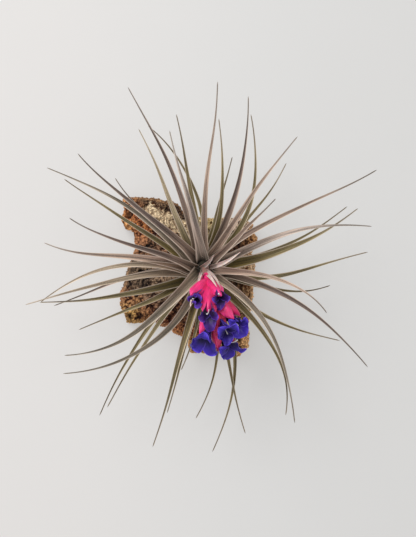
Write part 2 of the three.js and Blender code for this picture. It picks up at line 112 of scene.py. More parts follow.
def spline(points, t):
    """A smooth line through points, at t from 0 at the first to 1 at the last."""
    points = np.asarray(points, float)
    before, after = 2 * points[0] - points[1], 2 * points[-1] - points[-2]
    padded = np.concatenate([[before], points, [after]])
    made = []
    for s in np.atleast_1d(t) * (len(points) - 1):
        k = min(int(s), len(points) - 2)
        p0, p1, p2, p3 = padded[k:k + 4]
        d0, d1, d2 = (math.sqrt(np.linalg.norm(b - a)) for a, b in ((p0, p1), (p1, p2), (p2, p3)))
        out = ((p1 - p0) / d0 - (p2 - p0) / (d0 + d1) + (p2 - p1) / d1) * d1
        into = ((p2 - p1) / d1 - (p3 - p1) / (d1 + d2) + (p3 - p2) / d2) * d1
        w = s - k
        made.append((2 * w**3 - 3 * w**2 + 1) * p1 + (w**3 - 2 * w**2 + w) * out
                    + (3 * w**2 - 2 * w**3) * p2 + (w**3 - w**2) * into)
    return np.array(made)


# Meshes.
MARKINGS_STEP = 211.0  # between the places of two blades, so that none has the markings of another


class Skin:
    """Blades and tubes gathered into one mesh, with a tint, a place and a rim value at each point."""

    def __init__(self):
        self.points, self.faces, self.tints, self.places, self.rims = [], [], [], [], []
        self.count = 0

    def next_place(self):
        """Where the next blade's lengths start."""
        return MARKINGS_STEP * len(self.points)

    def add(self, rings, tints, places, rims):
        """rings is rows x columns x 3. Each row is a closed ring, and both ends are closed."""
        rows, columns = rings.shape[:2]
        index = self.count + np.arange(rows * columns).reshape(rows, columns)
        turned = np.roll(index, -1, axis=1)
        quads = np.stack([index[:-1], turned[:-1], turned[1:], index[1:]], axis=-1).reshape(-1, 4)
        self.faces += quads.tolist() + [index[0][::-1].tolist(), index[-1].tolist()]
        self.points.append(rings.reshape(-1, 3))
        self.tints.append(np.broadcast_to(tints, rings.shape).reshape(-1, 3))
        self.places.append(np.broadcast_to(places, rings.shape).reshape(-1, 3))
        self.rims.append(np.broadcast_to(rims, rings.shape[:2]).reshape(-1))
        self.count += rows * columns

    def piece(self, name, material):
        arrays = [np.concatenate(a) for a in (self.points, self.tints, self.places, self.rims)]
        return add_piece(name, arrays[0], self.faces, material, *arrays[1:])


def add_piece(name, points, faces, material, tints, places, rims):
    """A visible piece that rides on the model's one body. Its points are in millimetres."""
    mesh = bpy.data.meshes.new(name)
    mesh.from_pydata((np.asarray(points) * MM).tolist(), [], faces)
    opaque = np.concatenate([tints, np.ones((len(tints), 1))], axis=1)
    for key, kind, field, values in (("tint", "FLOAT_COLOR", "color", opaque),
                                     ("place", "FLOAT_VECTOR", "vector", places),
                                     ("rim", "FLOAT", "value", rims)):
        mesh.attributes.new(key, kind, "POINT").data.foreach_set(field, np.ravel(values))
    mesh.shade_smooth()
    mesh.materials.append(material)
    obj = bpy.data.objects.new(name, mesh)
    bpy.context.scene.collection.objects.link(obj)
    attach(obj, "root")
    return obj


def lanes_across(lanes):
    """The places of a blade's lanes from -1 to 1, closest together at its edges."""
    return -np.cos(math.pi * np.arange(lanes + 1) / lanes)


def pointed_half(t, width, foot, least, fullness):
    """Half the width of a pointed blade: a half wave that begins foot of the way along."""
    return 0.5 * width * np.maximum(np.sin(math.pi * lerp(foot, 1, t)), least) ** fullness


def edge_waves(t, v, waves, phase, lag, closeness):
    """Waves along both edges of a blade, which die away towards its middle."""
    return np.sin(2 * math.pi * waves * t[:, None] + phase + lag * np.sign(v)) * np.abs(v) ** closeness


def add_blade(skin, line, inward, half, rise, thick, lanes, tint, ripple=0.0):
    """A leaf, bract or petal along line. half and rise are given row by row, thick and tint may be.

    Its hollow side faces inward, and its edges stand rise above its middle. ripple moves the blade
    along its normal, row by row and lane by lane.
    """
    tangent = unit(np.gradient(line, axis=0))
    normal = square_to(np.broadcast_to(inward, line.shape), tangent)
    side = np.cross(normal, tangent)
    v = lanes_across(lanes)
    upper = np.arange(lanes + 1)
    lower = np.arange(lanes - 1, 0, -1)
    lift = np.outer(rise, v**2) + ripple
    aside = side[:, None] * np.outer(half, v)[..., None]
    top = line[:, None] + aside + normal[:, None] * lift[..., None]
    depth = np.outer(thick, np.sqrt(1 - v**2))
    under = top - normal[:, None] * depth[..., None]
    rings = np.concatenate([top[:, upper], under[:, lower]], axis=1)
    lane = np.concatenate([v[upper], v[lower]])
    is_under = np.concatenate([np.zeros(len(upper)), np.ones(len(lower))])
    length = skin.next_place() + lengths_along(line)
    places = np.stack([np.broadcast_to(length[:, None], rings.shape[:2]), np.outer(half, lane),
                       np.broadcast_to(is_under, rings.shape[:2])], axis=-1)
    skin.add(rings, tint[:, None] if np.ndim(tint) == 2 else tint, places, np.abs(lane))


def add_tube(skin, line, radius, sides, tint):
    """A round body along line. radius may be given row by row."""
    tangent = unit(np.gradient(line, axis=0))
    is_upright = abs(tangent[0][2]) > 0.9
    not_along = np.array([1.0, 0, 0] if is_upright else [0.31, 0.17, 0.94])
    normals = [square_to(not_along, tangent[0])]
    for direction in tangent[1:]:
        normals.append(square_to(normals[-1], direction))
    normals = np.array(normals)
    angle = 2 * math.pi * np.arange(sides) / sides
    radius = np.broadcast_to(radius, len(line))[:, None, None]
    ring = normals[:, None] * np.cos(angle)[None, :, None]
    ring = ring + np.cross(tangent, normals)[:, None] * np.sin(angle)[None, :, None]
    rings = line[:, None] + ring * radius
    length = skin.next_place() + lengths_along(line)
    places = np.stack([np.broadcast_to(length[:, None], rings.shape[:2]),
                       np.broadcast_to(angle, rings.shape[:2]) * radius[..., 0],
                       np.zeros(rings.shape[:2])], axis=-1)
    skin.add(rings, tint, places, 0.0)


# Materials.
MIX_AMOUNT, MIX_A, MIX_B, MIX_RESULT = 0, 6, 7, 2  # the sockets of a Mix node that mixes colours
NOISE_SPAN, SHARP_SPAN = (0.3, 0.7), (0.34, 0.66)  # nearly all values of a noise, and a bit fewer
# The colour along a petal's rim is a painted highlight.
LEAF_MARGIN, PETAL_RIM_HIGHLIGHT = colour(224, 208, 192), colour(110, 84, 214)
PALE_MARGIN, PINK_MARGIN = colour(244, 228, 222), colour(248, 96, 164)


class Finish:
    """A material's node tree, with a short call for each node that it needs."""

    def __init__(self, name, roughness, **constants):
        self.material = bpy.data.materials.new(name)
        self.material.use_nodes = True
        self.nodes, self.links = self.material.node_tree.nodes, self.material.node_tree.links
        self.shader = self.nodes["Principled BSDF"]
        self.shader.inputs["Roughness"].default_value = roughness
        for key, value in constants.items():
            self.shader.inputs[key.replace("_", " ")].default_value = value

    def feed(self, node, name, value):
        socket = node.inputs[name]
        if isinstance(value, bpy.types.NodeSocket):
            self.links.new(value, socket)
        else:
            socket.default_value = value

    def node(self, kind, inputs=(), **settings):
        node = self.nodes.new("ShaderNode" + kind)
        for key, value in settings.items():
            setattr(node, key, value)
        for name, value in dict(inputs).items():
            self.feed(node, name, value)
        return node

    def attribute(self, name, output="Fac"):
        return self.node("Attribute", attribute_name=name).outputs[output]

    def noise(self, vector, scale, detail=3.0, roughness=0.55):
        inputs = {"Vector": vector, "Scale": scale, "Detail": detail, "Roughness": roughness}
        return self.node("TexNoise", inputs).outputs["Fac"]

    def markings(self, place, along, across, detail=2.0, roughness=0.55):
        """Noise over a blade or tube, with so many waves a millimetre along it and across it."""
        stretched = self.node("Mapping", {"Vector": place, "Scale": (along, across, 1.0)})
        return self.noise(stretched.outputs["Vector"], 1.0, detail, roughness)

    def cells(self, vector, scale):
        return self.node("TexVoronoi", {"Vector": vector, "Scale": scale}).outputs["Distance"]

    def between(self, value, low, high, to_low=0.0, to_high=1.0):
        """value, moved smoothly from the span low to high to the span to_low to to_high."""
        inputs = {"Value": value, "From Min": low, "From Max": high,
                  "To Min": to_low, "To Max": to_high}
        return self.node("MapRange", inputs, interpolation_type="SMOOTHSTEP").outputs["Result"]

    def math(self, operation, a, b):
        node = self.node("Math", operation=operation)
        self.feed(node, 0, a)
        self.feed(node, 1, b)
        return node.outputs[0]

    def summed(self, a, a_share, b, b_share):
        """Two heights, each times its share."""
        return self.math("ADD", self.math("MULTIPLY", a, a_share), self.math("MULTIPLY", b, b_share))

    def mixed(self, amount, a, b, blend="MIX"):
        node = self.node("Mix", data_type="RGBA", blend_type=blend)
        self.feed(node, MIX_AMOUNT, amount)
        for index, tint in ((MIX_A, a), (MIX_B, b)):
            self.feed(node, index, tint if isinstance(tint, bpy.types.NodeSocket) else (*tint, 1.0))
        return node.outputs[MIX_RESULT]

    def shaded(self, tint, factor):
        """tint times a grey factor."""
        grey = self.node("CombineColor", {"Red": factor, "Green": factor, "Blue": factor})
        return self.mixed(1.0, tint, grey.outputs["Color"], "MULTIPLY")

    def finish(self, base, height, distance, roughness=None):
        """The material, with its colour and a bump of at most distance, in metres."""
        bump = self.node("Bump", {"Height": height, "Distance": distance, "Strength": 1.0})
        self.feed(self.shader, "Base Color", base)
        self.feed(self.shader, "Normal", bump.outputs["Normal"])
        if roughness is not None:
            self.feed(self.shader, "Roughness", roughness)
        return self.material


def leaf_finish():
    """Leathery, with a darker channel of painted shade, long streaks, broad bands of painted shade and
    light over the flanks, fine ribs, dusty scurf and a thin pale margin.
    """
    f = Finish("leaf", 0.6, Sheen_Weight=0.05, Sheen_Roughness=0.5, Specular_IOR_Level=0.35)
    place, tint, rim = f.attribute("place", "Vector"), f.attribute("tint", "Color"), f.attribute("rim")
    streaks = f.markings(place, 0.02, 1.2)
    ribs = f.markings(place, 0.05, 3.2)
    # Broad bands across the blade: painted shade and light that darken one flank and brighten the
    # other.
    flank_shade = f.markings(place, 0.03, 0.3)
    scurf = f.markings(place, 1.4, 4.0, 4.0, 0.7)
    # Painted shade: darkest in the middle of the channel, brighter towards the edges.
    base = f.shaded(tint, f.between(rim, 0.05, 0.85, 0.62, 1.14))
    base = f.shaded(base, f.between(streaks, *SHARP_SPAN, 0.56, 1.5))
    base = f.shaded(base, f.between(ribs, *NOISE_SPAN, 0.66, 1.36))
    base = f.shaded(base, f.between(flank_shade, *SHARP_SPAN, 0.72, 1.28))
    base = f.mixed(f.between(scurf, 0.46, 0.72, 0.0, 0.5), base, f.shaded(tint, 2.2))
    base = f.mixed(f.between(rim, 0.74, 0.9, 0.0, 0.85), base, LEAF_MARGIN)
    height = f.summed(ribs, 0.7, scurf, 0.3)
    return f.finish(base, height, 0.0003, f.between(scurf, 0.3, 0.8, 0.5, 0.74))


def bract_finish(name, margin, margin_amount):
    """Papery and satin, with fine veins, patches of painted shade as in folds, and a paler margin."""
    f = Finish(name, 0.42, Sheen_Weight=0.1, Subsurface_Weight=0.12, Subsurface_Scale=0.001)
    place, tint = f.attribute("place", "Vector"), f.attribute("tint", "Color")
    veins = f.markings(place, 0.08, 2.2)
    # Broad patches that darken: painted shade, as in the bracts' folds.
    folds = f.markings(place, 0.16, 0.4)
    base = f.shaded(tint, f.between(veins, *NOISE_SPAN, 0.84, 1.1))
    base = f.shaded(base, f.between(folds, *NOISE_SPAN, 0.8, 1.12))
    base = f.mixed(f.between(f.attribute("rim"), 0.75, 1.0, 0.0, margin_amount), base, margin)
    return f.finish(base, f.summed(veins, 0.5, folds, 0.9), 0.0004)


def petal_finish():
    """Soft satin with fine darker veins, painted shade in the middle of each petal and a painted
    highlight along its rim.
    """
    f = Finish("petal", 0.5, Sheen_Weight=0.05, Sheen_Roughness=0.4, Specular_IOR_Level=0.3)
    place, tint, rim = f.attribute("place", "Vector"), f.attribute("tint", "Color"), f.attribute("rim")
    veins = f.markings(place, 0.12, 2.6)
    creases = f.markings(place, 0.4, 0.5)
    base = f.shaded(tint, f.between(veins, *NOISE_SPAN, 0.84, 1.1))
    # Painted shade in the middle of a petal, and painted light towards its rim.
    base = f.shaded(base, f.between(rim, 0.0, 0.9, 0.82, 1.25))
    # A painted highlight along the rim.
    base = f.mixed(f.between(rim, 0.86, 1.0, 0.0, 0.55), base, PETAL_RIM_HIGHLIGHT)
    return f.finish(base, f.summed(veins, 0.4, creases, 0.8), 0.0003)


def cork_finish():
    """Dry crumbly cork: the tint holds the bark's zones, pits and ridges, with painted shade in its
    pits, hollows and cracks and one zone of painted shadow, and grain goes over it.
    """
    f = Finish("cork", 0.9, Specular_IOR_Level=0.25)
    where = f.node("NewGeometry").outputs["Position"]
    grain = f.noise(where, 900.0, 4.0, 0.65)
    crumbs = f.cells(where, 1100.0)
    base = f.shaded(f.attribute("tint", "Color"), f.between(grain, 0.38, 0.62, 0.5, 1.5))
    base = f.shaded(base, f.between(crumbs, 0.0, 0.7, 1.16, 0.8))
    height = f.math("SUBTRACT", grain, f.math("MULTIPLY", crumbs, 0.5))
    return f.finish(base, height, 0.0006)


def root_finish():
    """Dry brown wire with a rough skin."""
    f = Finish("root", 0.8)
    grain = f.markings(f.attribute("place", "Vector"), 0.6, 2.0, 4.0)
    base = f.shaded(f.attribute("tint", "Color"), f.between(grain, *NOISE_SPAN, 0.6, 1.3))
    return f.finish(base, grain, 0.0004)


# Leaves, clockwise from the top: level from 0 (lowest) to 1 (highest), heading where it leaves the
# stem (degrees from +X), how far its foot is shifted to its left, tip on the picture plane, heading
# at the tip, width, how far its middle bows to its left, and tone.
LEAVES = [
    (0.62, 92, -0.8, 7.6, 111.2, 93, 5.3, 2, "pink"),
    (0.42, 66, 0.6, 8.3, 89, 99, 5.3, 0.9, "olive"),
    (0.2, 72, 2.2, 16.4, 66.1, 76, 4.5, 0.3, "olive"),
    (0.7, 63, 0, 25.9, 102.5, 92, 6.4, 0.7, "mauve"),
    (0.25, 42, 0, 27.5, 91.6, 98, 5.4, -1.4, "olive"),
    (0.82, 60, -0.6, 55.5, 78.2, 46, 6, -1.4, "pink"),
    (0.12, 50, 0, 48.8, 62.3, 62, 4.2, -0.6, "olive"),
    (0.95, 42, 0, 42.4, 40.9, 45, 5.4, 0, "pink"),
    (0.86, 42, 0.6, 103.1, 58.3, 30, 4.7, -0.6, "pink"),
    (0.22, 16, -2, 85.3, 36.3, 33, 5, -2.2, "olive"),
    (0.45, 12, -0.4, 91.9, 35.2, 32, 8.4, -2.5, "olive"),
    (0.68, 30, -2.6, 100.1, 24.3, -6, 6.6, 0.2, "ash"),
    (0.36, -16, -1, 97.7, 8.9, 10, 5.6, -1.2, "olive"),
    (0.1, -12, -1, 75.1, -11, 13, 5, -2.2, "olive"),
    (0.9, -8, -1, 73.1, -27.7, -51, 5, 1.3, "pink"),
    (0.72, -10, -1.6, 97.6, -60.1, -51, 5.6, -0.2, "mauve"),
    (0.15, -42, -1, 80.8, -44.2, -20, 5.4, -2.8, "olive"),
    (0.84, -30, -2, 53.9, -93.6, -80, 5.4, 2, "grey"),
    (0.4, -40, -4, 48.4, -88.9, -97, 5.8, 1.2, "olive"),
    (0.24, -72, 0, 24.2, -99.9, -73.5, 5.4, -0.3, "olive"),
    (0.18, -58, 0, 4.4, -110.9, -113, 5.6, 1, "olive"),
    (0.08, -72, 0, -5.5, -90.8, -118, 4.6, 0.6, "olive"),
    (0.6, -106, 0, -31.4, -107.9, -110, 6.4, -0.5, "olive"),
    (0.14, -104, 0, -22.7, -87.5, -106, 5, 0, "olive"),
    (0.02, -98, 0, -14.3, -61.8, -116, 5, 0, "olive"),
    (0.2, -140, 0, -63.3, -89.1, -112, 5.6, 0.8, "olive"),
    (0.34, -132, 0, -58.6, -84.2, -120, 5, -0.4, "olive"),
    (0.66, -112, 0, -85.1, -64, -172, 6.8, 2, "grey"),
    (0.88, -135, 0, -84.3, -53, -177, 7.6, 0.9, "grey"),
    (0.22, -146, 0, -75.7, -37.7, -150, 6, 2, "olive"),
    (0.1, 174, 0, -90.6, -23.2, -152, 5.6, 3, "mauve"),
    (0.3, -165, 4.5, -99.2, -21.2, -176, 7, 1.2, "olive"),
    (0.48, 168, 4.5, -107.7, -22.7, -154, 6.4, 5.2, "cream"),
    (0.8, 156, 5.5, -98.5, -21.1, -136, 5.6, 2.2, "cream"),
    (0.78, 150, 5.5, -96.5, 14.5, 164, 7.2, 3.2, "pink"),
    (0.92, 152, 3.2, -81.4, 29.4, 146, 5.2, 0.2, "mauve"),
    (0.64, 136, 3.5, -94.9, 59.6, 153, 6, -2.8, "grey"),
    (0.44, 148, 4, -84.5, 52.8, 136, 5.2, -3.4, "olive"),
    (0.86, 132, 0, -76.3, 68.1, 132, 6.4, 0.6, "mauve"),
    (0.05, 135, 0, -53.9, 53.5, 122, 4.4, 0, "mauve"),
    (0.58, 103, 3, -46.3, 107.9, 117, 5.6, -1.2, "mauve"),
    (0.38, 118, 3, -39.9, 82.9, 116, 6.2, -0.8, "sage"),
    (0.16, 84, 0, -34, 84.3, 146, 4, 2, "olive"),
    (0.98, 102, -0.6, -21.2, 81.8, 102, 7.1, -0.2, "ash"),
    (0.5, 106, 0, -17.2, 91.6, 97, 6, -2.4, "olive"),
]

# The heights of a leaf's foot and tip, and how steeply it rises, at levels 0 and 1.
LOWEST = {"root": 24.5, "rise": 9, "tip": 15}
HIGHEST = {"root": 49, "rise": 55, "tip": 97}
TIP_DROOP = 12
ROOT_DEPTH = 3.4
LEAF_HANDLES = 0.4, 0.35  # how long its curve keeps to its heading at foot and tip, over its reach
LEAF_ROWS, LEAF_LANES = 64, 14
LEAF_TIP_WIDTH, LEAF_TAPER = 0.7, 1.6
SHEATH, SHEATH_END = 0.3, 0.14  # how much wider its foot is, and how far along that ends
POINT, POINT_START = 0.8, 0.985  # how much narrower its very point is, and how far along that starts
CHANNEL = 0.6, 0.85  # its depth at foot and tip, as a share of half the leaf's width
LEAF_THICKNESS = 1.1, 0.4  # at foot and tip
WAVER, WAVER_COUNT = 0.25, 1.4  # how far its line strays, and how many times

# What each leaf draws: the number of the first draw, and the span it falls in. The model draws the
# height of the tip (in mm) and the roll (in degrees) in the same way.
LEAF_DRAWS = {
    "tip": (200, -3, 3),
    "roll": (400, -18, 18),
    "waver": (600, 0, 1),
    "twist": (800, -20, 20),
    "shade": (1000, 0.9, 1.1),
}
STEM = [(20.6, 4.6), (23.6, 5.4), (46, 4.8), (52, 3.8)]  # height and radius

# Each tone: near the stem, middle and tip.
TONES = {
    "pink": (colour(142, 120, 106), colour(152, 132, 118), colour(126, 118, 112)),
    "cream": (colour(116, 98, 80), colour(158, 142, 122), colour(168, 156, 142)),
    "mauve": (colour(126, 108, 94), colour(112, 96, 88), colour(108, 102, 98)),
    "grey": (colour(138, 124, 106), colour(120, 110, 96), colour(126, 120, 112)),
    "ash": (colour(156, 142, 130), colour(168, 154, 144), colour(146, 140, 134)),
    "sage": (colour(120, 106, 74), colour(158, 144, 118), colour(146, 138, 124)),
    "olive": (colour(104, 90, 46), colour(116, 104, 72), colour(120, 111, 98)),
}
# Painted shade: the dark of the deep hollow at the rosette's heart, painted on the feet of the leaves
# and on the whole stem.
HOLLOW_SHADE = colour(44, 38, 20)


def drawn(kind, index):
    first, low, high = LEAF_DRAWS[kind]
    return lerp(low, high, chance(index + first))


def leaf_line(row, index, t):
    """A leaf's middle line at t from 0 at its foot to 1 at its tip."""
    level, at_stem, shift, tip_x, tip_y, at_tip, _, bow, _ = row
    between = {key: lerp(LOWEST[key], HIGHEST[key], level) for key in LOWEST}
    start = heading(at_stem) * ROOT_DEPTH + heading(at_stem + 90) * shift + UP * between["root"]
    tip = np.array([tip_x, tip_y, between["tip"] + drawn("tip", index)])
    across = tip - start
    reach = math.hypot(*across[:2])
    rising = heading(at_stem, math.tan(math.radians(between["rise"]))) * LEAF_HANDLES[0] * reach
    falling = heading(at_tip, -math.tan(math.radians(TIP_DROOP))) * LEAF_HANDLES[1] * reach
    line = bezier([start, start + rising, tip - falling, tip], t)
    aside = np.array([-across[1], across[0], 0]) / reach
    waver = WAVER * np.sin(2 * math.pi * (WAVER_COUNT * t + drawn("waver", index)))
    return on_sight_line(line + aside * (4 * (waver + bow) * t * (1 - t))[:, None])


def add_leaf(skin, row, index):
    _, at_stem, _, _, _, _, width, _, tone = row
    t = np.linspace(0, 1, LEAF_ROWS)
    roll = np.radians(drawn("roll", index) + drawn("twist", index) * t**2)
    inward = UP * np.cos(roll)[:, None] + heading(at_stem + 90) * np.sin(roll)[:, None]
    half = 0.5 * lerp(LEAF_TIP_WIDTH, width, (1 - t) ** LEAF_TAPER)
    half = half * (1 + SHEATH * (1 - smoothstep(t, 0, SHEATH_END)))
    half = half * (1 - POINT * smoothstep(t, POINT_START, 1))
    rise = half * lerp(*CHANNEL, t)
    thick = np.minimum(lerp(*LEAF_THICKNESS, t), 1.5 * half)
    near, middle, end = TONES[tone]
    tint = blended(near, middle, t, 0.08, 0.4)
    tint = blended(tint, end, t, 0.6, 0.95) * drawn("shade", index)
    # The foot of each leaf darkens into the painted shade of the hollow.
    tint = blended(HOLLOW_SHADE, tint, t, -0.02, 0.07)
    add_blade(skin, leaf_line(row, index, t), inward, half, rise, thick, LEAF_LANES, tint)


def make_leaves():
    skin = Skin()
    for index, row in enumerate(LEAVES):
        add_leaf(skin, row, index)
    heights = np.linspace(STEM[0][0], STEM[-1][0], 24)
    # The stem is painted all over in the hollow's shade.
    add_tube(skin, heights[:, None] * UP, np.interp(heights, *zip(*STEM)), 24, HOLLOW_SHADE)
    piece = skin.piece("leaves_and_stem", leaf_finish())
    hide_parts("leafy_stem")


# The flower head's stalk, and its pale bracts: foot, bend, tip, width and how pale from 0 to 1.
SCAPE = on_sight_line([[0, 0, 44], [0.1, -0.4, 54], [0.8, -4, 63], [1.8, -8.4, 69]])
SCAPE_RADIUS = 2.2
SCAPE_BRACTS = [
    ([-1.8, -1.8, 56], [-2.9, -6.9, 76], [-6, -12.3, 80], 1.7, 1),
    ([-1.2, -1.8, 56], [6.2, -1.5, 80], [10.5, -16.8, 84], 1.6, 0.7),
    ([0, -3.4, 58], [3.6, -5.4, 84], [7.2, -12, 86], 2, 1),
    ([-2.7, -0.8, 52], [1.4, 0.6, 68], [5.4, 7.2, 70], 2.6, 0.4),
    ([3, -0.2, 54], [10, 0.6, 74], [21.3, 9, 76], 2.6, 1),
]
SCAPE_BRACT_SWAY, SCAPE_BRACT_TURN = 1.2, 5.5
SCAPE_BRACT_THICKNESS = 0.4
PALE_PINK, MAUVE_BROWN, STALK_PINK = colour(214, 196, 188), colour(118, 98, 86), colour(150, 112, 102)


def add_scape_bract(skin, number, row):
    *places, width, paleness = row
    start, middle, end = on_sight_line(places)
    t = np.linspace(0, 1, 36)
    sway = SCAPE_BRACT_SWAY * np.sin(SCAPE_BRACT_TURN * t + number) * t * (1 - t)
    line = bezier([start, middle, end], t) + np.cross(unit(end - start), UP) * sway[:, None]
    over_its_foot = np.stack([0 * t + start[0], 0 * t + start[1], line[:, 2] + 12], axis=1)
    half = pointed_half(t, width, 0.28, 0.03, 0.8)
    tint = blended(MAUVE_BROWN, lerp(MAUVE_BROWN, PALE_PINK, paleness), t, 0, 0.4)
    add_blade(skin, line, over_its_foot - line, half, 0.8 * half, SCAPE_BRACT_THICKNESS, 10, tint)


def make_scape():
    skin = Skin()
    add_tube(skin, spline(SCAPE, np.linspace(0, 1, 24)), SCAPE_RADIUS, 20, STALK_PINK)
    for number, row in enumerate(SCAPE_BRACTS):
        add_scape_bract(skin, number, row)
    piece = skin.piece("scape_and_pale_bracts", bract_finish("pale_bract", PALE_MARGIN, 0.7))
    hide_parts("scape")


# The middle stalk of the flower head.
RACHIS = on_sight_line([
    [1, -5, 64.5], [1.8, -8.4, 69], [3, -15, 74], [4.2, -24, 78], [6, -31, 80], [7.4, -38, 81],
])

# Flowers: how far along that stalk each one stands, from 0 to 1, its mouth, the end of its white
# style, its tone, and its three petals: tip, width, where it is broadest, from 0 at its foot to 1,
# and how pointed it is, from 0 for round.
FLOWERS = [
    (0.12, [-5.9, -19.4, 84], [-7.4, -19, 87], "violet", [
        ([-8.4, -17.2, 88], 6.2, 0.7, 0),
        ([-2.8, -16.8, 89], 6, 0.7, 0),
        ([-5.6, -22.8, 87], 6.8, 0.7, 0),
    ]),
    (0.2, [9.3, -18.6, 86], [8.2, -16, 93], "violet", [
        ([4.3, -18.8, 91], 5, 0.7, 0.3),
        ([14.6, -18.6, 90], 5.5, 0.7, 0.3),
        ([8.1, -26.6, 87], 7.8, 0.38, 1.2),
    ]),
    (0.34, [2.6, -28.6, 93], [1, -28.2, 95], "violet", [
        ([-4.4, -30.6, 95], 6, 0.6, 0.3),
        ([7.8, -28.4, 96], 6.5, 0.65, 0.1),
        ([3, -39.8, 91], 7.8, 0.5, 0.35),
    ]),
    (0.62, [-0.6, -43.6, 84], [0, -45, 80], "blue", [
        ([-8, -49.4, 83], 9.5, 0.75, 0.2),
        ([7, -53.2, 82], 8.5, 0.75, 0.2),
        ([-1.2, -40, 92], 9.5, 0.7, 0),
    ]),
    (0.86, [14.4, -47.6, 79], [19.4, -43.8, 85], "blue", [
        ([8.8, -49.4, 84], 7.5, 0.7, 0.2),
        ([13.2, -56.2, 76], 9, 0.75, 0.3),
        ([24.9, -50.4, 80], 7.5, 0.45, 0.8),
    ]),
    (0.6, [13.2, -38.6, 89], [14, -42, 86], "blue", [
        ([8.4, -37.4, 96], 9.5, 0.65, 0.1),
        ([18.4, -35, 96], 8.5, 0.65, 0.1),
        ([13, -47.6, 90], 9.5, 0.5, 0.8),
    ]),
    (0.44, [18.6, -34.2, 81], [20, -35, 80], "blue", [
        ([24, -40.6, 82], 12, 0.72, 0),
        ([25, -30.8, 84], 7.5, 0.65, 0.3),
        ([14.3, -31.8, 87], 6, 0.65, 0.3),
    ]),
]
TUBE_RADIUS = 1.7
TUBE_SPAN = 0.34, 0.72  # of the way from the stalk to the mouth
CALYX_SPAN = 0, 0.6
CALYX_RADII = 2.1, 2.85
CLAW_WIDTH = 5.2  # of a petal's narrow foot, which stands in the tube
CLAW_DEPTH, CLAW_OUT = 0.36, 0.9  # its depth, as a share of that way, and how far it is off the axis
CLAW_END = 0.2  # of the way along a petal
PETAL_BENDS = (-1.5, 2.1), (3.6, 2.6)  # how far each is past the mouth, and off the axis
PETAL_ROWS, PETAL_LANES = 44, 20
PETAL_THICKNESS = 0.35
PETAL_TINTS = {  # throat, blade and rim: painted shade deep in the throat, and a painted highlight towards the tip
    "violet": (colour(26, 6, 54), colour(58, 18, 108), colour(88, 46, 172)),
    "blue": (colour(26, 8, 78), colour(46, 24, 138), colour(76, 56, 184)),
}
STYLE_RADII = 0.25, 0.4
STYLE_WHITE = colour(244, 236, 240)


def petal_half(t, width, broadest, point):
    past = np.maximum(0, t - broadest) / (1 - broadest)
    closing = np.maximum(0.0004, 1 - past**2) ** (0.5 + 0.6 * point)
    return 0.5 * lerp(CLAW_WIDTH, width, smoothstep(t, CLAW_END, broadest)) * closing


def add_petal(skin, petal, mouth, axis, claw_depth, phase, tints):
    """A petal, from its claw in the tube over two bends to its tip."""
    place, width, broadest, point = petal
    throat_shade, blade, rim = tints
    tip = on_sight_line(place)
    aside = square_to(tip - mouth, axis)
    bends = (-claw_depth, CLAW_OUT), *PETAL_BENDS
    t = np.linspace(0, 1, PETAL_ROWS)
    line = bezier([*(mouth + axis * past + aside * out for past, out in bends), tip], t)
    half = petal_half(t, width, broadest, point)
    opening = smoothstep(t, CLAW_END, broadest)
    rise = half * (lerp(0.5, 0.24, opening) + 0.2 * opening * np.sin(9 * t))
    v = lanes_across(PETAL_LANES)
    waves = 0.09 * edge_waves(t, v, 2.6, phase, 1.6, 2.5)
    folds = 0.03 * np.sin(2 * math.pi * 1.1 * v + phase) * (1 - v**2)
    curl = 0.16 * smoothstep(t, 0.82, 1)[:, None]
    ripple = width * opening[:, None] * (waves + folds - curl)
    # Painted shade deep in the throat, and painted light at the tip.
    tint = blended(throat_shade, blade, t, 0.45, 0.78)
    tint = blended(tint, rim, t, 0.84, 1)
    focus = mouth + axis * 7 + UP * 5
    add_blade(skin, line, focus - line, half, rise, PETAL_THICKNESS, PETAL_LANES, tint, ripple)


def make_corolla(number, flower, finish):
    """A flower's tube, its three petals and its white style."""
    root, mouth, style, tone, petals = flower
    tints = PETAL_TINTS[tone]
    skin = Skin()
    start, end = spline(RACHIS, root)[0], on_sight_line(mouth)
    axis, length = unit(end - start), np.linalg.norm(end - start)
    tube = lerp(start, end, np.linspace(*TUBE_SPAN, 8)[:, None])
    add_tube(skin, tube, TUBE_RADIUS, 18, tints[1])
    for k, petal in enumerate(petals):
        phase = 2 * math.pi * chance(10 * number + k)
        add_petal(skin, petal, end, axis, CLAW_DEPTH * length, phase, tints)
    t = np.linspace(0, 1, 16)
    line = bezier([lerp(start, end, CALYX_SPAN[1]), end, on_sight_line(style)], t)
    add_tube(skin, line, lerp(*STYLE_RADII, smoothstep(t, 0.6, 0.9)), 8, STYLE_WHITE)
    piece = skin.piece(f"petals_{number}", finish)
    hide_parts(f"corolla_{number}")


